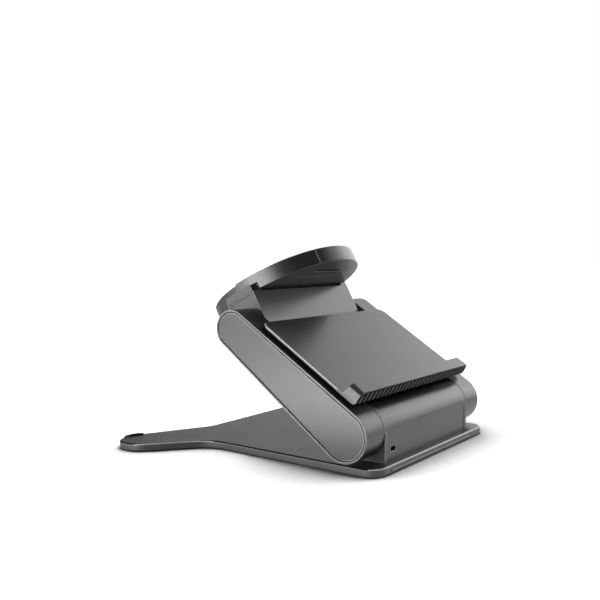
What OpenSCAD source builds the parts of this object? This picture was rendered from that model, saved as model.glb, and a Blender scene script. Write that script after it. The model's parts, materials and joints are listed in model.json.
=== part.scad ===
// Folding desk stand for a pen display: base plate, hinge block, forked arm,
// sliding tray with a ribbed lip, tilting round head with a flip-up stop.
// Units are millimetres. +Z is up, +Y runs along both hinge axes, +X points to
// the tray lip side. The origin is on the floor, under the lower hinge axis.

/* [Stance] */
// Angle of the arm above the floor
arm_deg = 34.95; // [25:0.05:45]
// Tilt of the round head above the floor
head_deg = 28.73; // [20:0.01:40]
// Distance between the two hinge axes
arm_len = 96.3; // [90:0.1:110]

/* [Base] */
// Height of the lower hinge axis above the floor
hinge_h = 21.9; // [21.5:0.1:24]
// Thickness of the base plate
base_t = 4.4; // [4:0.1:5]
// Depth of the base plate behind the lower hinge axis
base_back = 131; // [125:1:140]
// Radius of the rear leg's rounded tip
tip_r = 14.5; // [13:0.5:16]

/* [Arm] */
// Full width of the arm
arm_w = 150.4; // [148:0.2:154]
// Radius of the arm's lower end
arm_r1 = 15; // [14.8:0.1:15.2]
// Radius of the arm's upper end
arm_r2 = 11.6; // [11:0.1:12]
// Wall thickness of the arm shell
arm_wall = 2.4; // [2.2:0.1:2.6]

/* [Tray] */
// Half width of the tray
tray_hw = 71.2; // [68:0.2:72]
// Thickness of the tray sheet
tray_t = 1.8; // [1.6:0.1:2]
// Radius of the tray's upper corners
tray_corner = 5.5; // [5:0.5:9]
// Spacing of the ribs on the lip grip
rib_pitch = 4.9; // [4.5:0.1:6]

/* [Head] */
// Radius of the round head
disc_r = 51.4; // [50:0.1:53]
// Thickness of the round head
disc_t = 10; // [10:0.5:11]
// Height of the head's underside above the upper hinge axis
disc_up = 20.25; // [20:0.05:21]
// Half width of the flip-up stop
tab_hw = 21.7; // [18:0.1:24]

/* [Hidden] */
$fn = 96;
gap = 0.05;
run_gap = 0.06;
seam = 0.35;
tuck = 0.002;
arm_hw = arm_w / 2;
base_top = hinge_h - 16.7;
base_z0 = base_top - base_t;
taper = asin((arm_r1 - arm_r2) / arm_len);
top_deg = arm_deg - taper;
up_x = -arm_len * cos(arm_deg);
up_z = hinge_h + arm_len * sin(arm_deg);

// base outline
base_front = 20;
edge_yl = -75.4;
edge_yr = 77;
back_yl = -63.4;
back_yr = 65;
tip_x = -140.4;
tip_y = -88.5;
near_a = -41.6;
far_a = 153.6;
near_root = [-102, -65.7];
far_root = [-base_back, -34.2];
under_in = 3;
under_t = 0.8;
screw_r = 1.5;
screw_head_r = 2.8;
socket_r = 1.1;
pad_r = 6;
pad_x = 4;
pad_y = 58;
back_pad_r = 5;
back_pad_x = -120;
root_pad = [-118, -50];
root_pad_r = 8;
tip_pad_r = 9;
root_r = 22;
tip_slot_r = 9.6;
tip_slot_w = 3.2;
tip_slot_a = 134;
tip_slot_sweep = 62;
tip_slot_d = 1.6;
trim_z0 = base_z0 + 0.7;
trim_h = 1.3;
trim_y0 = -57;
trim_y1 = 53;
trim_d = 1.1;

// hinge block
block_hw = 55.15;
block_front = 15;
block_back = -9;
block_wall = 2.4;
block_end_t = 2.1;
block_proud = 0.4;
slot_y = -45.1;
slot_z = base_top + 6.7;
slot_w = 6;
slot_h = 2.5;
boss_pts = [[10, -33], [10, 0], [10, 33], [-5.2, -22], [-5.2, 22]];
boss_r = 3.2;
boss_h = 7;
boss_bite = 4;

// lower hinge hardware, measured along Y on one side
lo_fork = 55.9;
lo_shaft_r = 5;
lo_boss_r = 6;
lo_end_r = 4;
lo_bush_r = 7.5;
lo_bush_y0 = 44.5;
lo_bracket_y0 = 47;
lo_bracket_t = 3;
lo_washer_y0 = 41.2;
lo_nut_y0 = 35.2;
lo_nut_h = 4.6;

// arm
hi_fork = 57.2;
fork_r1 = 17;
fork_r2 = 18;
cap_rim = 1;
cap_gap = 0.65;
cap_t = 2.6;
side_y0 = 59.8;
side_t = 3;
side_r1 = 10;
side_r2 = 8;
spine_x0 = -70;
spine_x1 = -26;
spine_z = -3.5;
spine_t = 1.5;
spine_hw = 59.7;
spine_tab_h = 9;
screw_xs = [-62, -34];
screw_z = 4.5;
peg_xs = [-22, -74];
peg_r = 3;
frame_hole_x = -48;
frame_hole_r = 4.5;
spine_hole_r = 7;

// upper hinge hardware
hi_boss_r = 5;
hi_shaft_r = 4;
hi_end_r = 3;
hi_bush_r = 6.5;
hi_bush_y0 = 41;
hi_bracket_y0 = 43;
hi_bracket_t = 3;
hi_washer_y0 = 38.3;
hi_nut_y0 = 32.8;
hi_nut_h = 4.4;
collar_r = 9;

// tray, in the frame of the arm's top face
tray_n0 = arm_r1 + 1.6;
tray_n1 = tray_n0 + tray_t;
tray_s0 = -82.2;
lip_in = -15.6;
lip_out = -5.3;
lip_top_n = tray_n1 + 7.6;
lip_end_r = 3.7;
grip_z = tray_n0 + 1.4;
grip_h = 7.2;
grip_t = 1;
grip_in = 0.7;
rail_y = 38;
rail_w = 14;
rail_s0 = -74;
rail_s1 = -21.4;
rail_n0 = arm_r1 - 4.8;
run_s0 = -72.5;
run_len = 30;
run_w = 10;
run_neck = 5.8;
run_h = 2.2;

// head, in the frame of the upper hinge axis
barrel_r = 11.4;
head_hw = 54.8;
head_wall = 2.4;
neck_h = 1.15;
neck_x = 8.2;
neck_y = 46;
head_top = disc_up - neck_h;
slab_t = 2;
foot_t = 1.9;
foot_n = head_top - slab_t - foot_t - 0.1;
panel_t = 1.6;
head_screw_x = 4.5;
head_screw_y = 30;
panel_x0 = -9.3;
panel_x1 = 7.6;
bracket_r = 8.8;
bracket_x = 7.8;
ear_t = 7;
ear_h = 5;
ear_x0 = -11.2;
ear_x1 = 11;
ear_round = 2.4;
ear_n = head_top + ear_h - ear_round;
disc_cx = -2.05;
rear_r = 49.2;
rear_in = 46.4;
disc_floor = 2.5;
core_r = 43.6;
core_t = 3;
pad_t = 3.2;
tab_back = 27.8;
tab_gap = 0.3;
tab_wall = 2.2;
pin_r = 1.25;
pin_x = 30;
finger_x = 34.6;
finger_w = 2.2;
finger_y0 = -12.9;
finger_len = 27.4;
finger_d = 3.2;
pin_n = disc_up + disc_t - 2.25;
barrel_tab = 2.2;

// ---- helpers ----
function unit(v) = v / norm(v);
function dir(a) = [cos(a), sin(a)];

module ycyl(r, y0, y1) {
  translate([0, y0, 0])
    rotate([-90, 0, 0])
      cylinder(h = y1 - y0, r = r);
}

module yprism(pts, y0, y1) {
  translate([0, y1, 0])
    rotate([90, 0, 0])
      linear_extrude(height = y1 - y0)
        polygon(pts);
}

module both() {
  children();
  mirror([0, 1, 0])
    children();
}

// bar with round ends between the two hinge axes, tapering with the radii;
// its flats sit a hair inside the rounds so that they cross cleanly
module bar(ra, rb, y0, y1) {
  t = asin((ra - rb) / arm_len);
  up = [-sin(t), cos(t)];
  dn = [-sin(t), -cos(t)];
  end = [-arm_len, 0];
  ycyl(ra, y0, y1);
  translate([-arm_len, 0, 0])
    ycyl(rb, y0, y1);
  qa = ra - tuck;
  qb = rb - tuck;
  yprism([qa * up, end + qb * up, end + qb * dn, qa * dn], y0, y1);
}

module arm_frame() {
  translate([0, 0, hinge_h])
    rotate([0, arm_deg, 0])
      children();
}

module top_frame() {
  translate([0, 0, hinge_h])
    rotate([0, top_deg, 0])
      children();
}

module head_frame() {
  translate([up_x, 0, up_z])
    rotate([0, -head_deg, 0])
      children();
}

// flat plate over a convex outline whose corners are rounded by true arcs;
// points run anticlockwise
module round_plate(pts, rs, z0, z1) {
  n = len(pts);
  cut = [for (i = [0:n - 1])
    let (p = pts[i], a = unit(pts[(i + n - 1) % n] - p), b = unit(pts[(i + 1) % n] - p),
      half = acos(a * b) / 2, m = unit(a + b))
    [p + a * rs[i] / tan(half), p + b * rs[i] / tan(half), p + m * rs[i] / sin(half)]];
  translate([0, 0, z0])
    linear_extrude(height = z1 - z0)
      polygon([for (i = [0:n - 1]) for (k = [0:1]) cut[i][k]]);
  for (i = [0:n - 1])
    translate([cut[i][2][0], cut[i][2][1], z0])
      cylinder(h = z1 - z0, r = rs[i]);
}

// concave corner filled by an arc of radius r
module inner_fillet(p, a1, a2, r, z0, z1) {
  d1 = dir(a1);
  d2 = dir(a2);
  half = acos(d1 * d2) / 2;
  c = p + unit(d1 + d2) * r / sin(half);
  difference() {
    translate([0, 0, z0])
      linear_extrude(height = z1 - z0)
        polygon([p - unit(d1 + d2) * 2, p + d1 * r / tan(half), c, p + d2 * r / tan(half)]);
    translate([c[0], c[1], z0 - 1])
      cylinder(h = z1 - z0 + 2, r = r);
  }
}

// base outline, drawn smaller all round by "inset"
module base_shape(inset, z0, z1) {
  k = inset;
  nn = dir(near_a);
  fn = dir(far_a);
  c = [tip_x, tip_y];
  r = tip_r - k;
  round_plate([[base_front - k, edge_yl + k], [base_front - k, edge_yr - k],
    [k - base_back, back_yr - k], [k - base_back, back_yl + k]],
    [10 - k, 10 - k, 12 - k, 4], z0, z1);
  translate([0, 0, z0])
    linear_extrude(height = z1 - z0)
      polygon([c + r * nn, near_root - k * nn, [-90, -50], [-110, -25], far_root - k * fn + [0, 0.5 * k],
        c + r * fn]);
  translate([tip_x, tip_y, z0])
    cylinder(h = z1 - z0, r = r);
}

// ---- base ----
module base_plate() {
  color([0.27, 0.27, 0.28])
    difference() {
      union() {
        base_shape(0, base_z0, base_top);
        inner_fillet([-102.3, -65.67], -4.6, near_a - 90, root_r, base_z0, base_top);
        inner_fillet([-base_back, -34.2], 90, far_a + 90, root_r, base_z0, base_top);
      }
      base_shape(under_in, base_z0 - 1, base_z0 + under_t + gap);
      for (p = boss_pts) {
        translate([p[0], p[1], base_z0 - 1])
          cylinder(h = base_t + 2, r = screw_r + gap);
        translate([p[0], p[1], base_z0 - 1])
          cylinder(h = 1 + under_t + 1.7, r = screw_head_r + 0.1);
      }
      translate([base_front - trim_d, trim_y0, trim_z0])
        cube([trim_d + 1, trim_y1 - trim_y0, trim_h]);
      translate([tip_x, tip_y, base_top - tip_slot_d])
        rotate([0, 0, tip_slot_a])
          rotate_extrude(angle = tip_slot_sweep)
            translate([tip_slot_r, 0])
              square([tip_slot_w, 2 * tip_slot_d]);
    }
}

module base_underplate() {
  color([0.16, 0.16, 0.17])
    base_shape(under_in + 0.15, base_z0, base_z0 + under_t);
}

module pad(x, y0, y1, r) {
  for (y = [y0, y1])
    translate([x, y, 0])
      cylinder(h = base_z0, r = r);
  translate([x - r, y0, 0])
    cube([2 * r, y1 - y0, base_z0]);
}

module foot_pads() {
  color([0.08, 0.08, 0.08]) {
    pad(pad_x, -pad_y, pad_y, pad_r);
    pad(back_pad_x, 10, 48, back_pad_r);
    translate([root_pad[0], root_pad[1], 0])
      cylinder(h = base_z0, r = root_pad_r);
    translate([tip_x, tip_y, 0])
      cylinder(h = base_z0, r = tip_pad_r);
  }
}

module base_screws() {
  color([0.62, 0.62, 0.64])
    for (p = boss_pts)
      translate([p[0], p[1], base_z0 + under_t]) {
        difference() {
          cylinder(h = 1.65, r = screw_head_r);
          translate([0, 0, -0.5])
            cylinder(h = 1.4, r = socket_r, $fn = 6);
        }
        cylinder(h = base_t - under_t + boss_bite, r = screw_r);
      }
}

module front_trim() {
  color([0.4, 0.4, 0.41])
    translate([base_front - trim_d + gap, trim_y0 + 1.6, trim_z0 + seam])
      cube([trim_d - 0.1, trim_y1 - trim_y0 - 2, trim_h - 2 * seam]);
}

module tip_guide() {
  color([0.2, 0.2, 0.21])
    translate([tip_x, tip_y, base_top - tip_slot_d + 0.05])
      rotate([0, 0, tip_slot_a + 1])
        rotate_extrude(angle = tip_slot_sweep - 2)
          polygon([[11.5, 0], [12.7, 0], [12.7, 1.6], [13.9, 1.6], [13.7, 2.4], [12.6, 2.6], [11.9, 2.3],
            [11.5, 1.5]]);
}

// ---- hinge block ----
module block_profile(inset, y0, y1, front, z_low) {
  r = arm_r1 - inset;
  p = [block_back + inset, -(hinge_h - base_top)];
  d = norm(p);
  a = atan2(p[1], p[0]) - acos(r / d);
  ycyl(r, y0, y1);
  yprism([[0, 0], (r - tuck) * dir(a), [p[0], z_low], [front, z_low], [front, 0]], y0, y1);
}

module hinge_block() {
  color([0.24, 0.24, 0.25]) {
    h = hinge_h - base_top;
    y = block_hw - block_end_t - gap;
    difference() {
      translate([0, 0, hinge_h])
        difference() {
          block_profile(0, -y, y, block_front, -h);
          block_profile(block_wall, -y - 1, y + 1, block_front - block_wall, -h - 1);
        }
      translate([block_front - 5, slot_y - slot_w / 2 - 0.1, slot_z - slot_h / 2 - 0.1])
        cube([6, slot_w + 0.2, slot_h + 0.2]);
    }
    for (p = boss_pts)
      translate([p[0], p[1], base_top])
        difference() {
          cylinder(h = boss_h, r = boss_r);
          translate([0, 0, -1])
            cylinder(h = boss_h - 1, r = screw_r + gap);
        }
  }
}

module block_end_one() {
  translate([0, 0, hinge_h])
    difference() {
      block_profile(0, block_hw - block_end_t, block_hw, block_front + block_proud,
        base_top - hinge_h);
      ycyl(lo_bush_r + 0.02, 0, block_hw + 1);
    }
}

module block_ends() {
  color([0.3, 0.3, 0.31])
    both()
      block_end_one();
}

module lock_slot_insert() {
  color([0.12, 0.12, 0.12])
    translate([block_front - block_wall - 1.6, slot_y, slot_z])
      difference() {
        translate([0, -5.5, -3.4])
          cube([1.55, 11, 6.8]);
        translate([-1, -slot_w / 2, -slot_h / 2])
          cube([4, slot_w, slot_h]);
      }
}

module lower_bracket_one() {
  translate([0, 0, hinge_h])
    difference() {
      union() {
        ycyl(10.4, lo_bracket_y0, lo_bracket_y0 + lo_bracket_t);
        yprism([[-7, 0], [-7, -9], [-5.5, base_top - hinge_h], [8, base_top - hinge_h], [9.5, 0]],
          lo_bracket_y0, lo_bracket_y0 + lo_bracket_t);
      }
      ycyl(lo_bush_r + 0.02, 0, 60);
    }
}

module lower_brackets() {
  color([0.6, 0.6, 0.62])
    both()
      lower_bracket_one();
}

module lower_bushes() {
  color([0.72, 0.6, 0.35])
    translate([0, 0, hinge_h])
      both()
        difference() {
          union() {
            ycyl(lo_bush_r, lo_bush_y0, block_hw - 0.05);
            ycyl(9.2, lo_bush_y0, lo_bracket_y0 - gap);
          }
          ycyl(lo_shaft_r + run_gap, 0, 60);
        }
}

module lower_washers() {
  color([0.66, 0.66, 0.68])
    translate([0, 0, hinge_h])
      both()
        for (i = [0:2])
          difference() {
            ycyl(9 - 0.6 * i, lo_washer_y0 + 1.05 * i, lo_washer_y0 + 1.05 * i + 1);
            ycyl(lo_shaft_r + run_gap, 0, 60);
          }
}

// ---- arm ----
module arm_shell() {
  color([0.3, 0.3, 0.31])
    difference() {
      arm_frame()
        difference() {
          bar(arm_r1, arm_r2, -arm_hw, arm_hw);
          ycyl(fork_r1, -lo_fork, lo_fork);
          translate([-arm_len, 0, 0])
            ycyl(fork_r2, -hi_fork, hi_fork);
          difference() {
            bar(arm_r1 - arm_wall, arm_r2 - arm_wall, -60, 60);
            ycyl(fork_r1 + arm_wall, -61, 61);
            translate([-arm_len, 0, 0])
              ycyl(fork_r2 + arm_wall, -61, 61);
          }
          both() {
            bar(arm_r1 - arm_wall, arm_r2 - arm_wall, 59.65, 72.2);
            bar(arm_r1 - cap_rim, arm_r2 - cap_rim, 72.15, arm_hw + 1);
            ycyl(lo_boss_r + 2, 50, 62);
            translate([-arm_len, 0, 0])
              ycyl(hi_boss_r + 1, 50, 62);
          }
        }
      top_frame()
        both()
          translate([rail_s0 - 0.1, rail_y - rail_w / 2 - 0.1, rail_n0])
            cube([rail_s1 - rail_s0 + 0.2, rail_w + 0.2, 8]);
    }
}

module cap_one() {
  e = cap_rim + cap_gap;
  arm_frame() {
    bar(arm_r1 - e, arm_r2 - e, arm_hw - cap_t, arm_hw);
    for (x = peg_xs)
      translate([x, 0, 0])
        ycyl(peg_r, side_y0 + 0.4, arm_hw - cap_t);
  }
}

module arm_cap_left() {
  color([0.36, 0.36, 0.37])
    mirror([0, 1, 0])
      cap_one();
}

module arm_cap_right() {
  color([0.36, 0.36, 0.37])
    cap_one();
}

module arm_side_frames() {
  color([0.58, 0.58, 0.6])
    arm_frame()
      both()
        difference() {
          bar(side_r1, side_r2, side_y0, side_y0 + side_t);
          ycyl(lo_boss_r + 0.02, 50, 70);
          translate([-arm_len, 0, 0])
            ycyl(hi_boss_r + 0.02, 50, 70);
          for (x = peg_xs)
            translate([x, 0, 0])
              ycyl(peg_r + gap, 50, 70);
          translate([frame_hole_x, 0, 0])
            ycyl(frame_hole_r, 50, 70);
          for (x = screw_xs)
            translate([x, 0, spine_z + screw_z])
              ycyl(screw_r + gap, 50, 70);
        }
}

module arm_spine() {
  color([0.55, 0.55, 0.57])
    arm_frame()
      difference() {
        union() {
          translate([spine_x0, -spine_hw, spine_z])
            cube([spine_x1 - spine_x0, 2 * spine_hw, spine_t]);
          both()
            translate([spine_x0, spine_hw - 1.6, spine_z])
              cube([spine_x1 - spine_x0, 1.6, spine_tab_h]);
        }
        both()
          for (x = screw_xs)
            translate([x, 0, spine_z + screw_z])
              ycyl(screw_r + gap, 50, 70);
        for (y = [-40, -20, 0, 20, 40])
          translate([(spine_x0 + spine_x1) / 2, y, spine_z - 1])
            cylinder(h = 4, r = spine_hole_r);
      }
}

module arm_screws() {
  color([0.66, 0.66, 0.68])
    arm_frame()
      both()
        for (x = screw_xs)
          translate([x, 0, spine_z + screw_z])
            difference() {
              union() {
                ycyl(screw_r, 56.5, side_y0 + side_t + 0.1);
                ycyl(screw_head_r, side_y0 + side_t + gap, side_y0 + side_t + 2);
              }
              translate([0, side_y0 + side_t + 0.9, 0])
                rotate([-90, 0, 0])
                  cylinder(h = 3, r = socket_r, $fn = 6);
            }
}

module lower_pins() {
  color([0.64, 0.64, 0.66])
    translate([0, 0, hinge_h])
      both() {
        ycyl(9, side_y0 + side_t + gap, side_y0 + side_t + 2.2);
        ycyl(lo_boss_r, block_hw + 0.35, side_y0 + side_t + 0.1);
        ycyl(lo_shaft_r, lo_nut_y0 + lo_nut_h + 0.4, block_hw + 0.4);
        ycyl(lo_end_r, lo_nut_y0 - 1.5, lo_nut_y0 + lo_nut_h + 1);
      }
}

module lower_nuts() {
  color([0.6, 0.6, 0.62])
    translate([0, 0, hinge_h])
      both()
        difference() {
          translate([0, lo_nut_y0, 0])
            rotate([-90, 0, 0])
              cylinder(h = lo_nut_h, r = 7.4, $fn = 6);
          ycyl(lo_end_r + 0.02, 30, 45);
        }
}

module upper_pins() {
  color([0.64, 0.64, 0.66])
    translate([up_x, 0, up_z])
      both() {
        ycyl(7, side_y0 + side_t + gap, side_y0 + side_t + 2);
        ycyl(hi_boss_r, head_hw + 0.25, side_y0 + side_t + 0.1);
        ycyl(hi_shaft_r, hi_nut_y0 + hi_nut_h + 0.3, head_hw + 0.3);
        ycyl(hi_end_r, hi_nut_y0 - 1.2, hi_nut_y0 + hi_nut_h + 1);
      }
}

module upper_nuts() {
  color([0.6, 0.6, 0.62])
    translate([up_x, 0, up_z])
      both()
        difference() {
          translate([0, hi_nut_y0, 0])
            rotate([-90, 0, 0])
              cylinder(h = hi_nut_h, r = 6.2, $fn = 6);
          ycyl(hi_end_r + 0.02, 30, 45);
        }
}

module upper_collars() {
  color([0.22, 0.22, 0.23])
    translate([up_x, 0, up_z])
      both()
        difference() {
          ycyl(collar_r, head_hw + 0.3, hi_fork - gap);
          ycyl(hi_boss_r + 0.02, 50, 60);
        }
}

module tray_rails() {
  color([0.5, 0.5, 0.52])
    top_frame()
      both()
        translate([0, rail_y, 0])
          difference() {
            translate([rail_s0, -rail_w / 2, rail_n0 + gap])
              cube([rail_s1 - rail_s0, rail_w, arm_r1 - rail_n0 - gap]);
            translate([rail_s0 + 0.8, -run_w / 2 - 0.2, rail_n0 + 1.2])
              cube([rail_s1 - rail_s0 - 1.6, run_w + 0.4, run_h + 0.5]);
            translate([rail_s0 + 0.8, -run_neck / 2 - 0.2, rail_n0 + 2])
              cube([rail_s1 - rail_s0 - 1.6, run_neck + 0.4, 5]);
          }
}

// ---- tray ----
// everything inside the lip's ends, whose top corners are rounded; "k" draws it smaller
module lip_ends(k) {
  hw = tray_hw - k;
  n0 = lip_top_n - lip_end_r;
  r = lip_end_r - k;
  translate([-30, -hw, 0])
    cube([40, 2 * hw, n0]);
  translate([-30, lip_end_r - tray_hw, n0 - 1])
    cube([40, 2 * (tray_hw - lip_end_r), r + 1]);
  both()
    translate([-30, tray_hw - lip_end_r, n0])
      rotate([0, 90, 0])
        cylinder(h = 40, r = r);
}

module tray_plate() {
  color([0.33, 0.33, 0.34])
    top_frame()
      difference() {
        union() {
          round_plate([[tray_s0, -tray_hw], [-14, -tray_hw], [-14, tray_hw], [tray_s0, tray_hw]],
            [tray_corner, 0.1, 0.1, tray_corner], tray_n0, tray_n1);
          intersection() {
            yprism([[lip_in - 1.5, tray_n0], [lip_in - 1.5, tray_n1], [lip_in, tray_n1],
              [lip_in + 1.9, lip_top_n - 0.4], [lip_in + 2.3, lip_top_n], [lip_out - 0.5, lip_top_n],
              [lip_out, lip_top_n - 0.4], [lip_out - 0.1, tray_n0 + 1.2],
              [lip_out - 1.4, tray_n0 + 0.2], [lip_out - 3, tray_n0]], -tray_hw, tray_hw);
            lip_ends(0);
          }
        }
        intersection() {
          translate([lip_out - grip_t, -tray_hw, grip_z])
            cube([4, 2 * tray_hw, grip_h]);
          lip_ends(grip_in);
        }
      }
}

module lip_grip() {
  n = floor((tray_hw - 2.5) / rib_pitch);
  color([0.07, 0.07, 0.07])
    top_frame()
      intersection() {
        union() {
          translate([lip_out - grip_t + gap, -tray_hw, grip_z + gap])
            cube([grip_t - 0.4, 2 * tray_hw, grip_h - 2 * gap]);
          for (i = [-n:n])
            translate([lip_out - 0.6, i * rib_pitch - 1.2, grip_z + gap])
              cube([0.9, 2.4, grip_h - 2 * gap]);
        }
        lip_ends(grip_in + gap);
      }
}

module tray_runners() {
  color([0.12, 0.12, 0.12])
    top_frame()
      both()
        translate([run_s0, rail_y, 0]) {
          translate([0, -run_w / 2, rail_n0 + 1.4])
            cube([run_len, run_w, run_h]);
          translate([0, -run_neck / 2, rail_n0 + 3])
            cube([run_len, run_neck, tray_n0 - rail_n0 - 3]);
        }
}

// ---- head ----
// straight sided block whose lower half is a barrel around the upper hinge axis
module head_profile(inset, y0, y1) {
  r = barrel_r - inset;
  x = r - tuck;
  ycyl(r, y0, y1);
  yprism([[x, 0], [x, head_top], [-x, head_top], [-x, 0]], y0, y1);
}

module head_screw_holes(z, h) {
  for (x = [-head_screw_x, head_screw_x])
    for (y = [-head_screw_y, head_screw_y])
      translate([x, y, z])
        cylinder(h = h, r = screw_r + gap);
}

module head_block() {
  end_t = 4.6;
  color([0.28, 0.28, 0.29])
    head_frame()
      difference() {
        head_profile(0, -head_hw, head_hw);
        difference() {
          head_profile(head_wall, end_t - head_hw, head_hw - end_t);
          translate([-30, -head_hw, head_top - slab_t])
            cube([60, 2 * head_hw, 5]);
        }
        both() {
          ycyl(hi_bush_r + 0.02, 30, 60);
          translate([panel_x0 - seam, head_hw - panel_t, 0])
            cube([panel_x1 - panel_x0 + 2 * seam, panel_t + 1, head_top - 0.8]);
        }
        head_screw_holes(head_top - slab_t - 1, slab_t + 2);
      }
}

module head_side_panels() {
  color([0.34, 0.34, 0.35])
    head_frame()
      both()
        difference() {
          translate([panel_x0, head_hw - panel_t + gap, 0.1])
            cube([panel_x1 - panel_x0, panel_t - 0.3, head_top - 0.9 - seam]);
          ycyl(hi_bush_r + 0.3, 30, 60);
        }
}

module head_ears() {
  color([0.38, 0.38, 0.39])
    head_frame()
      both()
        difference() {
          union() {
            yprism([[ear_x0, head_top + gap], [ear_x0, ear_n], [ear_x0 + ear_round, ear_n + ear_round],
              [ear_x1 - ear_round, ear_n + ear_round], [ear_x1, ear_n], [ear_x1, head_top + gap]],
              head_hw - ear_t, head_hw + 0.2);
            for (x = [ear_x0 + ear_round, ear_x1 - ear_round])
              translate([x, 0, ear_n])
                ycyl(ear_round, head_hw - ear_t, head_hw + 0.2);
          }
          translate([ear_x0 - 1, head_hw - 2 * seam, head_top])
            cube([ear_x1 - ear_x0 + 2, 5, gap + seam]);
        }
}

module upper_bushes() {
  color([0.72, 0.6, 0.35])
    translate([up_x, 0, up_z])
      both()
        difference() {
          union() {
            ycyl(hi_bush_r, hi_bush_y0, head_hw - 0.05);
            ycyl(8, hi_bush_y0, hi_bracket_y0 - gap);
          }
          ycyl(hi_shaft_r + run_gap, 0, 60);
        }
}

module upper_washers() {
  color([0.66, 0.66, 0.68])
    translate([up_x, 0, up_z])
      both()
        for (i = [0:1])
          difference() {
            ycyl(8 - 0.6 * i, hi_washer_y0 + 1.2 * i, hi_washer_y0 + 1.2 * i + 1.1);
            ycyl(hi_shaft_r + run_gap, 0, 60);
          }
}

module head_brackets() {
  color([0.58, 0.58, 0.6])
    head_frame()
      both()
        difference() {
          union() {
            ycyl(bracket_r, hi_bracket_y0, hi_bracket_y0 + hi_bracket_t);
            yprism([[-bracket_r, 0], [-bracket_x, foot_n + foot_t], [bracket_x, foot_n + foot_t],
              [bracket_r, 0]], hi_bracket_y0, hi_bracket_y0 + hi_bracket_t);
            translate([-bracket_x, 24, foot_n])
              cube([2 * bracket_x, hi_bracket_y0 - 23, foot_t]);
          }
          ycyl(hi_bush_r + 0.02, 30, 60);
          head_screw_holes(foot_n - 1, foot_t + 2);
        }
}

module head_screws() {
  head_h = 1.65;
  color([0.62, 0.62, 0.64])
    head_frame()
      for (x = [-head_screw_x, head_screw_x])
        for (y = [-head_screw_y, head_screw_y])
          translate([x, y, foot_n - head_h - gap])
            difference() {
              union() {
                cylinder(h = head_h, r = screw_head_r);
                cylinder(h = head_h + foot_t + slab_t + neck_h + disc_floor + 1.5, r = screw_r);
              }
              translate([0, 0, -1])
                cylinder(h = 1.9, r = socket_r, $fn = 6);
            }
}

module disc_cavity(r, w, z0, z1) {
  difference() {
    translate([0, 0, z0])
      cylinder(h = z1 - z0, r = r);
    translate([tab_back - w, -tab_hw - w, z0 - 1])
      cube([60, 2 * (tab_hw + w), z1 - z0 + 2]);
  }
}

module disc_shell() {
  z1 = disc_up + disc_t;
  color([0.3, 0.3, 0.31])
    head_frame()
      translate([disc_cx, 0, 0])
        difference() {
          union() {
            translate([0, 0, disc_up])
              cylinder(h = disc_t, r = rear_in - gap);
            intersection() {
              translate([0, 0, disc_up])
                cylinder(h = disc_t, r = disc_r);
              translate([0, -80, disc_up - 1])
                cube([80, 160, disc_t + 2]);
            }
            translate([-neck_x - disc_cx, -neck_y, head_top + gap])
              cube([2 * neck_x, 2 * neck_y, neck_h + 1]);
          }
          disc_cavity(core_r + 0.2, tab_wall + tab_gap, disc_up + disc_floor, z1 + 1);
          translate([tab_back - tab_gap, -tab_hw - tab_gap, disc_up - 1])
            cube([60, 2 * (tab_hw + tab_gap), disc_t + 2]);
          translate([pin_x, 0, pin_n])
            ycyl(pin_r + 0.02, -tab_hw - 2, tab_hw + 2);
          ear_pockets();
          translate([-disc_cx, 0, 0])
            head_screw_holes(head_top - 1, disc_floor + neck_h + 2);
        }
}

module ear_pockets() {
  both()
    translate([ear_x0 - 0.4 - disc_cx, head_hw - ear_t - 0.1, head_top])
      cube([ear_x1 - ear_x0 + 2.3, 10, ear_h + 0.4]);
}

module disc_rear_cover() {
  color([0.25, 0.25, 0.26])
    head_frame()
      translate([disc_cx, 0, 0])
        difference() {
          intersection() {
            translate([0, 0, disc_up])
              cylinder(h = disc_t, r = rear_r);
            translate([-80, -80, disc_up - 1])
              cube([80 - gap, 160, disc_t + 2]);
          }
          translate([0, 0, disc_up - 1])
            cylinder(h = disc_t + 2, r = rear_in);
          ear_pockets();
        }
}

module disc_core() {
  z0 = disc_up + disc_floor + gap;
  color([0.56, 0.56, 0.58])
    head_frame()
      translate([disc_cx, 0, 0])
        difference() {
          disc_cavity(core_r, tab_wall + tab_gap + 0.2, z0, z0 + core_t);
          translate([-disc_cx, 0, 0])
            head_screw_holes(z0 - 1, 8);
          for (a = [60:30:300])
            rotate([0, 0, a])
              translate([22, 0, z0 - 1])
                cylinder(h = 8, r = 4);
        }
}

module disc_pad() {
  z1 = disc_up + disc_t + 0.3;
  color([0.1, 0.1, 0.1])
    head_frame()
      translate([disc_cx, 0, 0])
        disc_cavity(core_r + 0.05, tab_wall + tab_gap + 0.15, z1 - pad_t, z1);
}

// ---- flip-up stop ----
module flip_tab() {
  color([0.32, 0.32, 0.33])
    head_frame()
      translate([disc_cx, 0, 0])
        difference() {
          intersection() {
            union() {
              translate([pin_x, -tab_hw, disc_up])
                cube([40, 2 * tab_hw, disc_t]);
              translate([tab_back, -tab_hw, disc_up])
                cube([4, 2 * tab_hw, pin_n - disc_up]);
              translate([pin_x, 0, pin_n])
                ycyl(barrel_tab, -tab_hw, tab_hw);
            }
            translate([0, 0, disc_up - 1])
              cylinder(h = disc_t + 2, r = disc_r);
          }
          translate([pin_x, 0, pin_n])
            ycyl(pin_r + run_gap, -tab_hw - 1, tab_hw + 1);
          translate([finger_x, finger_y0, disc_up - 1])
            cube([finger_w, finger_len, finger_d + 1]);
        }
}

module tab_pin() {
  color([0.66, 0.66, 0.68])
    head_frame()
      translate([disc_cx + pin_x, 0, pin_n])
        ycyl(pin_r, -tab_hw - 1.9, tab_hw + 1.9);
}

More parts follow.
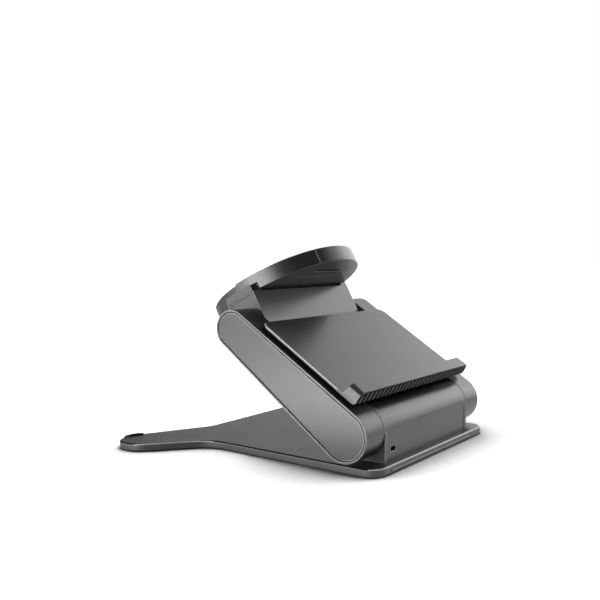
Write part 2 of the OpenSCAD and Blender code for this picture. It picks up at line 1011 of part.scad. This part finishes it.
base_plate();
base_underplate();
foot_pads();
base_screws();
front_trim();
tip_guide();
hinge_block();
block_ends();
lock_slot_insert();
lower_brackets();
lower_bushes();
lower_washers();
arm_shell();
arm_cap_left();
arm_cap_right();
arm_side_frames();
arm_spine();
arm_screws();
lower_pins();
lower_nuts();
upper_pins();
upper_nuts();
upper_collars();
tray_rails();
tray_plate();
lip_grip();
tray_runners();
head_block();
head_side_panels();
head_ears();
upper_bushes();
upper_washers();
head_brackets();
head_screws();
disc_shell();
disc_rear_cover();
disc_core();
disc_pad();
flip_tab();
tab_pin();
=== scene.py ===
import json
import math

import bmesh
import bpy
import numpy as np
from mathutils import Matrix, Vector


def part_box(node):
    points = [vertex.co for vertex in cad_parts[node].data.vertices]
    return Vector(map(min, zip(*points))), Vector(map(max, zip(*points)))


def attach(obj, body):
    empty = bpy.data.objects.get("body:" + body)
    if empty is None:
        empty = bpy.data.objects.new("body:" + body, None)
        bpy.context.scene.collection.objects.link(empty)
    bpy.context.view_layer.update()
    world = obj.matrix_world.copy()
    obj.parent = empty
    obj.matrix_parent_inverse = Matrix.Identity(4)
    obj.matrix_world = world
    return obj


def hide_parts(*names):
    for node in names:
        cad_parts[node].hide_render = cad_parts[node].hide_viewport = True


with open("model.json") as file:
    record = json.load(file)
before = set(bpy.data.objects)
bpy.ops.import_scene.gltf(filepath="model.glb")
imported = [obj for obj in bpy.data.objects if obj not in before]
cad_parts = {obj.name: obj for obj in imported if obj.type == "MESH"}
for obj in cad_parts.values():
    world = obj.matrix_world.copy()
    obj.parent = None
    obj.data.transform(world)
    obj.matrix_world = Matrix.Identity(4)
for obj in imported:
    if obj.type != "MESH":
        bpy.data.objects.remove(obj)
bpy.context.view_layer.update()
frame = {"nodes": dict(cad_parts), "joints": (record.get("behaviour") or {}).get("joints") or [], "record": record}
MM = 0.001
JOINTS = {j["name"]: j for j in frame["joints"]}
SLOT_OF = {s["node"]: s["material_slot"] for s in frame["record"]["subparts"]}


# ---------------------------------------------------------------- local frames
def vec(v):
    return np.array(v, float)


LOW = vec(JOINTS["base_hinge"]["pos_m"])
HIGH = vec(JOINTS["head_hinge"]["pos_m"])
STOP = vec(JOINTS["stop_hinge"]["pos_m"])
DOWN = vec(JOINTS["tray_slide"]["axis"])
YAX = vec((0, 1, 0))
TRAY_N = np.cross(DOWN, YAX)
ZAX = vec((0, 0, 1))
XAX = vec((1, 0, 0))

# the stop's pin, measured along and above the untilted head from the upper hinge axis
STOP_LOCAL = (27.95, 28.0)
span = STOP - HIGH
HEAD_TILT = math.atan2(span[2], span[0]) - math.atan2(STOP_LOCAL[1], STOP_LOCAL[0])
HEAD_X = vec((math.cos(HEAD_TILT), 0, math.sin(HEAD_TILT)))
HEAD_N = vec((-math.sin(HEAD_TILT), 0, math.cos(HEAD_TILT)))


class Space:
    """Local axes u, v, w with an origin; points are given in millimetres."""

    def __init__(self, origin, u, v, w):
        self.o, self.m = vec(origin), np.array([u, v, w], float)

    def __call__(self, pts):
        return self.o + (np.asarray(pts, float) * MM) @ self.m


BASE = Space((0, 0, 0), XAX, YAX, ZAX)
TRAY_SIDE = Space(LOW, DOWN, TRAY_N, -YAX)
TRAY_FLAT = Space(LOW, DOWN, YAX, TRAY_N)
HEAD_FLAT = Space(HIGH, HEAD_X, YAX, HEAD_N)


# ---------------------------------------------------------------- outlines
def arc(c, r, a0, a1, n):
    """n + 1 points around centre c, from angle a0 to a1 in degrees."""
    t = np.radians(np.linspace(a0, a1, n + 1))
    return [(c[0] + r * math.cos(a), c[1] + r * math.sin(a)) for a in t]


def rounded(points, radii, seg=8):
    """Closed outline with each corner replaced by an arc of its radius."""
    out, n = [], len(points)
    for i, (p, r) in enumerate(zip(points, radii)):
        p = vec(p)
        if r <= 0:
            out.append(tuple(p))
            continue
        a, b = vec(points[i - 1]) - p, vec(points[(i + 1) % n]) - p
        a, b = a / np.linalg.norm(a), b / np.linalg.norm(b)
        half = math.acos(max(-1, min(1, float(a @ b)))) / 2
        c = p + (a + b) / np.linalg.norm(a + b) * r / math.sin(half)
        s, e = p + a * r / math.tan(half), p + b * r / math.tan(half)
        a0, a1 = math.atan2(*(s - c)[::-1]), math.atan2(*(e - c)[::-1])
        turn = (a1 - a0 + math.pi) % (2 * math.pi) - math.pi
        for k in range(seg + 1):
            t = a0 + turn * k / seg
            out.append((c[0] + r * math.cos(t), c[1] + r * math.sin(t)))
    return out


def miters(pts):
    """Outward offset directions of an anticlockwise outline."""
    p = vec(pts)
    d = np.roll(p, -1, 0) - p
    d /= np.linalg.norm(d, axis=1)[:, None]
    nrm = np.stack([d[:, 1], -d[:, 0]], 1)
    prev = np.roll(nrm, 1, 0)
    s = nrm + prev
    return s / np.maximum(1 + (nrm * prev).sum(1), 0.35)[:, None]


# ---------------------------------------------------------------- meshes
SHARP = math.radians(32)


def mesh_object(name, verts, faces):
    """Object of one closed mesh, with doubled points merged and faces turned outward."""
    me = bpy.data.meshes.new(name)
    me.from_pydata([tuple(v) for v in verts], [], faces)
    me.validate()
    bm = bmesh.new()
    bm.from_mesh(me)
    bmesh.ops.remove_doubles(bm, verts=bm.verts, dist=1e-7)
    bmesh.ops.recalc_face_normals(bm, faces=bm.faces)
    bm.to_mesh(me)
    bm.free()
    ob = bpy.data.objects.new(name, me)
    bpy.context.scene.collection.objects.link(ob)
    smooth(ob)
    return ob


def smooth(ob):
    """Smooth shading that keeps hard edges and flat faces."""
    ob.data.shade_smooth()
    ob.data.set_sharp_from_angle(angle=SHARP)
    mod = ob.modifiers.new("normals", "WEIGHTED_NORMAL")
    mod.keep_sharp = True
    mod.weight = 80


def prism_data(space, outline, h0, h1, r0=0.0, r1=0.0, seg=4, start=0):
    """Vertices and faces of an extruded outline with rounded end edges."""
    p, m = vec(outline), miters(outline)
    rings = []
    if r0 > 0:
        for k in range(seg):
            t = math.pi / 2 * k / seg
            rings.append((r0 * (1 - math.sin(t)), h0 + r0 * (1 - math.cos(t))))
    rings.append((0, h0 + r0))
    rings.append((0, h1 - r1))
    if r1 > 0:
        for k in range(1, seg + 1):
            t = math.pi / 2 * k / seg
            rings.append((r1 * (1 - math.cos(t)), h1 - r1 * (1 - math.sin(t))))
    n, verts = len(p), []
    for inset, h in rings:
        q = p - m * inset
        verts.append(space(np.column_stack([q, np.full(n, h)])))
    verts = np.vstack(verts)
    faces = []
    for k in range(len(rings) - 1):
        for i in range(n):
            j = (i + 1) % n
            low, high = start + k * n, start + (k + 1) * n
            faces.append([low + i, low + j, high + j, high + i])
    faces.append([start + i for i in reversed(range(n))])
    last = start + (len(rings) - 1) * n
    faces.append([last + i for i in range(n)])
    return verts, faces


def prism(name, space, outline, h0, h1, r0=0.0, r1=0.0, seg=4):
    """Object of one extruded outline."""
    v, f = prism_data(space, outline, h0, h1, r0, r1, seg)
    return mesh_object(name, v, f)


def many(name, parts):
    """One mesh of several prisms; each part holds the arguments of prism_data."""
    verts, faces, start = [], [], 0
    for args in parts:
        v, f = prism_data(*args, start=start)
        verts.append(v)
        faces += f
        start += len(v)
    return mesh_object(name, np.vstack(verts), faces)


def combine(ob, tool, operation="DIFFERENCE"):
    """Boolean with a second mesh, applied."""
    for m in ob.modifiers:
        m.show_viewport = False
    mod = ob.modifiers.new("cut", "BOOLEAN")
    mod.operation, mod.solver, mod.object = operation, "EXACT", tool
    deps = bpy.context.evaluated_depsgraph_get()
    deps.update()
    me = bpy.data.meshes.new_from_object(ob.evaluated_get(deps))
    ob.modifiers.remove(mod)
    for m in ob.modifiers:
        m.show_viewport = True
    ob.data = me
    bpy.data.objects.remove(tool)
    me.shade_smooth()
    me.set_sharp_from_angle(angle=SHARP)


# ---------------------------------------------------------------- materials
def add(tree, kind, inputs=None, **settings):
    """New shader node: settings first, then each input is linked or given its value."""
    made = tree.nodes.new("ShaderNode" + kind)
    for key, value in settings.items():
        setattr(made, key, value)
    for key, value in (inputs or {}).items():
        if isinstance(value, bpy.types.NodeSocket):
            tree.links.new(value, made.inputs[key])
        else:
            made.inputs[key].default_value = value
    return made


def math_out(tree, operation, a, b, **settings):
    """Output of a Math node over two values or outputs."""
    return add(tree, "Math", {0: a, 1: b}, operation=operation, **settings).outputs["Value"]


GRAIN_DEPTH = 0.00025
WEAR_HIGHLIGHT_FULL, WEAR_HIGHLIGHT_NONE = 0.8, 0.985


def finish(name, color, rough, grain=2600, bump=0.12, metal=0.0, vary=0.1, edge=0.5, bevel=0.35,
           spec=0.5, brushed=None, rough_vary=0.08, edge_wear_and_highlight_color=None):
    """A moulded, painted or metal surface: grain, mottling, uneven roughness, and lighter edges that are partly
    worn and partly a painted highlight.
    """
    mat = bpy.data.materials.new(name)
    mat.use_nodes = True
    tree = mat.node_tree
    coord = add(tree, "TexCoord").outputs["Object"]
    fine_coord = coord
    if brushed:
        fine_coord = add(tree, "Mapping", {"Vector": coord, "Scale": brushed}).outputs["Vector"]
    fine = add(tree, "TexNoise", {"Vector": fine_coord, "Scale": grain, "Detail": 3}).outputs["Fac"]
    cloud = add(tree, "TexNoise", {"Vector": coord, "Scale": 60, "Detail": 5}).outputs["Fac"]

    # lighter edges where the bevel turns the normal: partly worn, partly a painted highlight
    round_normal = add(tree, "Bevel", {"Radius": bevel * MM}, samples=4).outputs["Normal"]
    normal = add(tree, "NewGeometry").outputs["Normal"]
    turned = add(tree, "VectorMath", {0: round_normal, 1: normal}, operation="DOT_PRODUCT").outputs["Value"]
    wear_and_highlight = add(tree, "MapRange", {"Value": turned, "From Min": WEAR_HIGHLIGHT_NONE, "From Max": WEAR_HIGHLIGHT_FULL})
    broken_wear_and_highlight = math_out(tree, "MULTIPLY", wear_and_highlight.outputs["Result"], cloud)
    wear_and_highlight_amount = math_out(tree, "MULTIPLY", broken_wear_and_highlight, edge, use_clamp=True)

    uneven = math_out(tree, "MULTIPLY", math_out(tree, "ADD", cloud, fine), 0.5)
    base = add(tree, "Mix", {
        "Factor": uneven,
        "A": (*[c * (1 - vary) for c in color], 1),
        "B": (*[min(1, c * (1 + vary)) for c in color], 1),
    }, data_type="RGBA")
    worn_and_highlit_edges = add(tree, "Mix", {
        "Factor": wear_and_highlight_amount,
        "A": base.outputs["Result"],
        "B": (*(edge_wear_and_highlight_color or [min(1, c * 2.2 + 0.03) for c in color]), 1),
    }, data_type="RGBA")
    gloss = add(tree, "MapRange", {
        "Value": uneven,
        "To Min": max(0.02, rough - rough_vary),
        "To Max": min(1, rough + rough_vary),
    })
    relief = add(tree, "Bump", {
        "Height": fine, "Normal": round_normal, "Strength": bump, "Distance": GRAIN_DEPTH,
    })

    bsdf = tree.nodes["Principled BSDF"]
    bsdf.inputs["Metallic"].default_value = metal
    bsdf.inputs["Specular IOR Level"].default_value = spec
    tree.links.new(worn_and_highlit_edges.outputs["Result"], bsdf.inputs["Base Color"])
    tree.links.new(gloss.outputs["Result"], bsdf.inputs["Roughness"])
    tree.links.new(relief.outputs["Normal"], bsdf.inputs["Normal"])
    return mat


CHARCOAL = (0.013, 0.013, 0.0135)
LOOKS = {
    "base_paint": dict(color=(0.011, 0.011, 0.0115), rough=0.38, bevel=0.5, spec=0.8),
    # body_plastic's strong light edge colour is a painted highlight along its edges
    "body_plastic": dict(color=CHARCOAL, rough=0.31, spec=0.7, bevel=0.8, edge=2.2,
                         edge_wear_and_highlight_color=(0.4, 0.4, 0.4)),
    # painted highlight laid on rounded edges and fillets
    "painted_highlight_edge": dict(color=(0.27, 0.27, 0.272), rough=0.34, spec=0.7, edge=0, vary=0.3),
    # painted highlight and painted shade for the base plate's top rim
    "painted_highlight_rim": dict(color=(0.3, 0.3, 0.302), rough=0.32, spec=0.8, edge=0, vary=0.3),
    "shade_edge": dict(color=(0.003, 0.003, 0.003), rough=0.5, spec=0.1, edge=0, vary=0.3),
    # rib tops painted lighter than the black grooves: painted highlight
    "painted_highlight_rib_tops": dict(color=(0.08, 0.08, 0.08), rough=0.42, grain=1500, bump=0.3, edge=0.6, spec=0.5),
    "tray_paint": dict(color=(0.014, 0.014, 0.0145), rough=0.33, grain=3200, bevel=0.4, spec=0.65),
    # head_plastic's light edge colour is a painted highlight along its edges
    "head_plastic": dict(color=CHARCOAL, rough=0.3, bevel=0.5, spec=0.7, edge=1.5,
                         edge_wear_and_highlight_color=(0.28, 0.28, 0.28)),
    "dark_plastic": dict(color=(0.006, 0.006, 0.0065), rough=0.45, grain=2000, bump=0.2, spec=0.4),
    # the front strip's light grey is a painted highlight for the light it catches
    "trim_plastic": dict(color=(0.2, 0.2, 0.202), rough=0.32, spec=0.8),
    "rubber": dict(color=(0.003, 0.003, 0.003), rough=0.55, grain=1500, bump=0.3, vary=0.25, edge=0.2,
                   spec=0.1),
    "steel": dict(color=(0.1, 0.1, 0.105), rough=0.34, grain=900, bump=0.1, metal=1.0, brushed=(0.08, 1, 1),
                  edge=0.4),
    "bright_steel": dict(color=(0.18, 0.18, 0.187), rough=0.24, grain=1200, bump=0.06, metal=1.0,
                         brushed=(1, 0.08, 1), edge=0.3),
    "brass": dict(color=(0.2, 0.145, 0.055), rough=0.3, grain=900, bump=0.08, metal=1.0, brushed=(1, 0.1, 1),
                  edge=0.3),
}
MATS = {name: finish(name, **look) for name, look in LOOKS.items()}


def dress(ob, body, slot, *nodes):
    """Give a refined piece its finish and body, in place of the named CAD nodes."""
    ob.data.materials.clear()
    ob.data.materials.append(MATS[slot])
    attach(ob, body)
    if nodes:
        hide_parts(*nodes)


def paint_light_and_shade(ob, mat, chosen):
    """Give the faces picked by chosen(normal, centre) a second finish, used here to paint highlights and shade
    onto them.
    """
    ob.data.materials.append(MATS[mat])
    last = len(ob.data.materials) - 1
    for face in ob.data.polygons:
        if chosen(np.array(face.normal), np.array(face.center)):
            face.material_index = last


for name, ob in frame["nodes"].items():
    for material_slot in ob.material_slots:
        material_slot.link = "OBJECT"
        material_slot.material = MATS[SLOT_OF[name]]


# ---------------------------------------------------------------- base plate
base_lo, base_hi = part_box("base_plate")
BASE_Z0, BASE_TOP = base_lo[2] / MM, base_hi[2] / MM
TIP, TIP_R = (-140.4, -88.5), 14.5
NEAR_A, FAR_A = -41.6, 153.6
ROOT_R, CORNER_SEG = 22, 14
EDGE_FILLET = 1.1
FRONT_X = 20
NEAR_FRONT, FAR_FRONT, FAR_BACK = (FRONT_X, -75.4), (FRONT_X, 77), (-131, 65)
NEAR_ROOT, FAR_ROOT = (-102.3, -65.67), (-131, -34.2)

near_side = arc(TIP, TIP_R, NEAR_A, NEAR_A, 1)[0]
far_side = arc(TIP, TIP_R, FAR_A, FAR_A, 1)[0]
near = rounded([near_side, NEAR_ROOT, NEAR_FRONT], [0, ROOT_R, 0], CORNER_SEG)
far = rounded([FAR_BACK, FAR_ROOT, far_side], [0, ROOT_R, 0], CORNER_SEG)
# the plate's three round corners; near and far, above, run from them to the tip of the leg
corners = rounded([NEAR_FRONT, FAR_FRONT, FAR_BACK, FAR_ROOT], [10, 10, 12, 0], CORNER_SEG)
outline = corners[:3 * (CORNER_SEG + 1)] + far[1:-1] + arc(TIP, TIP_R, FAR_A, 360 + NEAR_A, 30) + near[1:-1]
plate = prism("base_plate_shell", BASE, outline, BASE_Z0, BASE_TOP, 0.5, EDGE_FILLET, seg=5)

FRONT = Space((0, 0, 0), YAX, ZAX, XAX)


def bar(y0, y1, z0, z1, radius):
    """Outline of a rounded strip on the base's front face."""
    return rounded([(y0, z0), (y1, z0), (y1, z1), (y0, z1)], [radius] * 4, 4)


GROOVE_X = FRONT_X - 1.1
combine(plate, prism("groove", FRONT, bar(-57, 53, 1.3, 2.9, 0.5), GROOVE_X, FRONT_X + 2))
SLOT_A0, SLOT_A1, SLOT_OUT, SLOT_IN, SLOT_DEPTH = 134, 196, 12.85, 9.6, 1.6
slot_outline = arc((0, 0), SLOT_OUT, SLOT_A0, SLOT_A1, 24) + arc((0, 0), SLOT_IN, SLOT_A1, SLOT_A0, 24)
tip_space = Space((TIP[0] * MM, TIP[1] * MM, 0), XAX, YAX, ZAX)
combine(plate, prism("tip_cut", tip_space, slot_outline, BASE_TOP - SLOT_DEPTH, BASE_TOP + 3))
dress(plate, "base", "base_paint", "base_plate")
EDGE_Z = (BASE_TOP - EDGE_FILLET - 0.1) * MM
# the plate's top fillet: painted highlight on faces turned to the front, painted shade on the rest
paint_light_and_shade(plate, "painted_highlight_rim", lambda n, c: 0.2 < n[2] < 0.95 and c[2] > EDGE_Z and n[0] > 0.3)
paint_light_and_shade(plate, "shade_edge", lambda n, c: 0.35 < n[2] < 0.95 and c[2] > EDGE_Z and n[0] <= 0.3)

# front strip: its light grey is a painted highlight for the light it catches
strip_outline = bar(-55.2, 52.6, 1.75, 2.5, 0.3)
trim = prism("front_strip", FRONT, strip_outline, GROOVE_X + 0.05, FRONT_X + 0.05, 0, 0.2, 3)
dress(trim, "base", "trim_plastic", "front_trim")


def disc(centre, radius):
    """Round foot; the last point stops short of the first."""
    return arc(centre, radius, 0, 351, 39)


def pill(x, y0, y1, radius):
    """Long foot along Y between two round ends."""
    return arc((x, y1), radius, 0, 180, 16) + arc((x, y0), radius, 180, 360, 16)


feet = [pill(4, -58, 58, 6), pill(-120, 10, 48, 5), disc((-118, -50), 8), disc(TIP, 9)]
pads = many("rubber_feet", [(BASE, foot, 0, BASE_Z0, 0.35, 0.05, 3) for foot in feet])
dress(pads, "base", "rubber", "foot_pads")

# ---------------------------------------------------------------- arm caps
ARM_D = (HIGH - LOW) / np.linalg.norm(HIGH - LOW)
ARM_N = np.cross(YAX, ARM_D)
ARM_LEN = float(np.linalg.norm(HIGH - LOW)) / MM
FACE_T, FACE_FILLET = 1.6, 0.65
for side, sign in (("left", -1), ("right", 1)):
    cap_lo, cap_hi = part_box("arm_cap_" + side)
    low_r, high_r = (LOW[2] - cap_lo[2]) / MM, (cap_hi[2] - HIGH[2]) / MM
    face = max(abs(cap_lo[1]), abs(cap_hi[1])) / MM
    lean = math.degrees(math.asin((low_r - high_r) / ARM_LEN))
    shape = arc((0, 0), low_r, 90 - lean, 270 + lean, 40)
    shape += arc((ARM_LEN, 0), high_r, lean - 90, 90 - lean, 40)
    space = Space((LOW[0], 0, LOW[2]), ARM_D, ARM_N, YAX * sign)
    cap = prism("arm_face_" + side, space, shape, face - FACE_T, face, 0, FACE_FILLET, 4)
    dress(cap, "arm", "body_plastic", "arm_cap_" + side)
    # the face's rounded rim gets a painted highlight
    paint_light_and_shade(cap, "painted_highlight_edge", lambda n, c: 0.2 < abs(n[1]) < 0.97)

# ---------------------------------------------------------------- tray
TRAY_N0, TRAY_N1, TRAY_HW = 16.6, 18.4, 71.2
TRAY_TOP, TRAY_CORNER, UNDER_LIP = -82.2, 5.5, -14
LIP_N, LIP_END, LIP_OUT = 26.0, 3.7, -5.3
sheet = rounded(
    [(TRAY_TOP, -TRAY_HW), (UNDER_LIP, -TRAY_HW), (UNDER_LIP, TRAY_HW), (TRAY_TOP, TRAY_HW)],
    [TRAY_CORNER, 0.2, 0.2, TRAY_CORNER], 14)
tray = prism("tray_sheet", TRAY_FLAT, sheet, TRAY_N0, TRAY_N1, 0.3, 0.75, 4)
lip_shape = rounded(
    [(-19, TRAY_N0), (LIP_OUT - 0.05, TRAY_N0), (LIP_OUT, LIP_N), (-13.55, LIP_N), (-15.5, TRAY_N1),
     (-19, TRAY_N1)],
    [0, 2.4, 0.6, 0.5, 1.8, 0], 8)
lip = prism("lip", TRAY_SIDE, lip_shape, -TRAY_HW, TRAY_HW)
lip_ends = rounded(
    [(-TRAY_HW, 10), (TRAY_HW, 10), (TRAY_HW, LIP_N), (-TRAY_HW, LIP_N)], [0, 0, LIP_END, LIP_END], 12)
combine(lip, prism("ends", Space(LOW, YAX, TRAY_N, DOWN), lip_ends, -40, 10), "INTERSECT")
combine(tray, lip, "UNION")
dress(tray, "tray", "tray_paint", "tray_plate")
SHEET_TOP = (TRAY_N1 + 0.1) * MM
# the sheet's rounded side edges get a painted highlight
paint_light_and_shade(tray, "painted_highlight_edge", lambda n, c: 0.15 < n @ TRAY_N < 0.97 and abs(n[1]) > 0.2 and
    (c - LOW) @ TRAY_N < SHEET_TOP)

GRIP_FACE = TRAY_SIDE([(LIP_OUT, 0, 0)])[0]
GRIP = Space(GRIP_FACE, YAX, TRAY_N, DOWN)
GRIP_HW, GRIP_N0, GRIP_N1 = 70.3, 18.0, 25.2
RIB_PITCH, RIB_W, RIB_H, RIB_INSET = 4.9, 1.7, 0.75, 0.35
RIBS_A_SIDE, LAST_RIB_CUT = 14, 1.1
strip = rounded([(-GRIP_HW, GRIP_N0), (GRIP_HW, GRIP_N0), (GRIP_HW, GRIP_N1), (-GRIP_HW, GRIP_N1)],
                [1.6, 1.6, 3.2, 3.2], 8)
parts = [(GRIP, strip, -0.6, 0.06, 0, 0.1, 2)]
for i in range(-RIBS_A_SIDE, RIBS_A_SIDE + 1):
    y0, y1 = i * RIB_PITCH - RIB_W / 2, i * RIB_PITCH + RIB_W / 2
    low = GRIP_N0 + RIB_INSET
    high = GRIP_N1 - RIB_INSET - (LAST_RIB_CUT if abs(i) == RIBS_A_SIDE else 0)
    rib = rounded([(y0, low), (y1, low), (y1, high), (y0, high)], [0.7] * 4, 5)
    parts.append((GRIP, rib, 0.0, RIB_H, 0, 0.7, 4))
grip = many("lip_ribs", parts)
dress(grip, "tray", "rubber", "lip_grip")
# rib tops painted lighter than the grooves: painted highlight
paint_light_and_shade(grip, "painted_highlight_rib_tops", lambda n, c: (c - GRIP_FACE) @ DOWN > 0.6 * RIB_H * MM)

# ---------------------------------------------------------------- head pad
PAD_R, PAD_CENTRE = 43.5, -2.05
PAD_N0, PAD_N1 = 27.4, 30.55
# the stop's window, which the pad leaves free
WINDOW_X, WINDOW_Y = 25.15, 24.35
window_a = math.degrees(math.asin(WINDOW_Y / PAD_R))
pad_outline = arc((0, 0), PAD_R, window_a, 360 - window_a, 90)
pad_outline += [(WINDOW_X, -WINDOW_Y), (WINDOW_X, WINDOW_Y)]
pad_space = Space(HEAD_FLAT([(PAD_CENTRE, 0, 0)])[0], HEAD_X, YAX, HEAD_N)
pad = prism("head_pad", pad_space, pad_outline, PAD_N0, PAD_N1, 0, 0.6, 4)
dress(pad, "head", "rubber", "disc_pad")

# ---------------------------------------------------------------- floor
FLOOR_HALF = 6.0
floor_mesh = bpy.data.meshes.new("floor")
floor_corners = [(sx * FLOOR_HALF, sy * FLOOR_HALF, 0) for sx, sy in ((-1, -1), (1, -1), (1, 1), (-1, 1))]
floor_mesh.from_pydata(floor_corners, [], [(0, 1, 2, 3)])
floor = bpy.data.objects.new("floor", floor_mesh)
bpy.context.scene.collection.objects.link(floor)


def ramp(tree, value, lo, hi, to):
    """Smooth ramp: 0 at lo, "to" at hi."""
    made = add(tree, "MapRange", {"Value": value, "From Min": lo, "From Max": hi, "To Max": to},
               interpolation_type="SMOOTHSTEP")
    return made.outputs["Result"]


# x, y and radius in metres, and strength, of each pool of light on the floor
POOLS = ((-0.1, -0.35, 0.26, 12.1), (-0.35, -0.45, 0.455, 1.7), (0.2, 0.0, 0.5, 0.9), (-0.3, 0.6, 0.65, 1.5))
SHADOW_REACH = 0.05
SHADED, PAPER_WHITE, BOUNCE = 0.1, 2.3, 0.7


def floor_material():
    """White paper with a soft contact shadow; only reflections see its light pools."""
    mat = bpy.data.materials.new("floor")
    mat.use_nodes = True
    tree = mat.node_tree
    tree.nodes.clear()
    seen = add(tree, "LightPath").outputs["Is Camera Ray"]
    open_air = add(tree, "AmbientOcclusion", {"Distance": SHADOW_REACH}, samples=6).outputs["AO"]
    contact = add(tree, "MapRange", {
        "Value": open_air, "From Min": 0.5, "From Max": 0.9, "To Min": SHADED, "To Max": PAPER_WHITE,
    })
    white = add(tree, "Mix", {
        "Factor": seen, "A": (BOUNCE, BOUNCE, BOUNCE, 1), "B": contact.outputs["Result"],
    }, data_type="RGBA")
    paper = add(tree, "BsdfDiffuse", {"Color": white.outputs["Result"]}).outputs[0]
    here = add(tree, "TexCoord").outputs["Object"]
    surface = paper
    for x, y, radius, strength in POOLS:
        away = add(tree, "VectorMath", {0: here, 1: (x, y, 0)}, operation="DISTANCE").outputs["Value"]
        glow = add(tree, "Emission", {"Strength": ramp(tree, away, radius, 0.0, strength)})
        surface = add(tree, "AddShader", {0: surface, 1: glow.outputs[0]}).outputs[0]
    picked = add(tree, "MixShader", {0: seen, 1: surface, 2: paper}).outputs[0]
    add(tree, "OutputMaterial", {"Surface": picked})
    return mat


floor.data.materials.append(floor_material())

# ---------------------------------------------------------------- studio light
# azimuth, elevation and strength of each soft lamp around the stand
LAMPS = (
    (270, 6, 11.1), (240, 6, 4.6), (210, 6, 6.2), (60, 6, 2.1), (90, 6, 1.7), (120, 6, 1.1),
    (60, 32, 1.7), (90, 32, 1.3), (0, 90, 0.8),
)
LAMP_CORE, LAMP_FADE = math.radians(4), math.radians(30)
AMBIENT = 0.005
world = bpy.data.worlds.new("studio")
bpy.context.scene.world = world
world.use_nodes = True
sky = world.node_tree
sky.nodes.clear()
ray = add(sky, "TexCoord").outputs["Generated"]
total = AMBIENT
for azimuth, height, strength in LAMPS:
    a, e = math.radians(azimuth), math.radians(height)
    lamp = Vector((math.cos(a) * math.cos(e), math.sin(a) * math.cos(e), math.sin(e))).normalized()
    toward = add(sky, "VectorMath", {0: ray, 1: lamp}, operation="DOT_PRODUCT").outputs["Value"]
    light = ramp(sky, toward, math.cos(LAMP_FADE), math.cos(LAMP_CORE), strength)
    total = math_out(sky, "ADD", light, total)
lit = add(sky, "Background", {"Strength": total}).outputs[0]
backdrop = add(sky, "Background", {"Color": (1, 1, 1, 1)}).outputs[0]
seen = add(sky, "LightPath").outputs["Is Camera Ray"]
mixed = add(sky, "MixShader", {0: seen, 1: lit, 2: backdrop}).outputs[0]
add(sky, "OutputWorld", {"Surface": mixed})

# ---------------------------------------------------------------- camera
AZIMUTH, DROP = math.radians(34.87), math.radians(3.39)
CAMERA_AT = (0.2376, -0.4574, 0.1239)
LOOK = Vector((-math.sin(AZIMUTH) * math.cos(DROP), math.cos(AZIMUTH) * math.cos(DROP), -math.sin(DROP)))
right = Vector((math.cos(AZIMUTH), math.sin(AZIMUTH), 0))
up = right.cross(LOOK)
camera = bpy.data.cameras.new("camera")
camera.lens, camera.sensor_width = 49.73, 36
camera.clip_start, camera.clip_end = 0.01, 30
holder = bpy.data.objects.new("camera", camera)
bpy.context.scene.collection.objects.link(holder)
turn = Matrix((right, up, -LOOK)).transposed().to_4x4()
holder.matrix_world = Matrix.Translation(Vector(CAMERA_AT)) @ turn
bpy.context.scene.camera = holder
bpy.context.scene.view_settings.view_transform = "Standard"
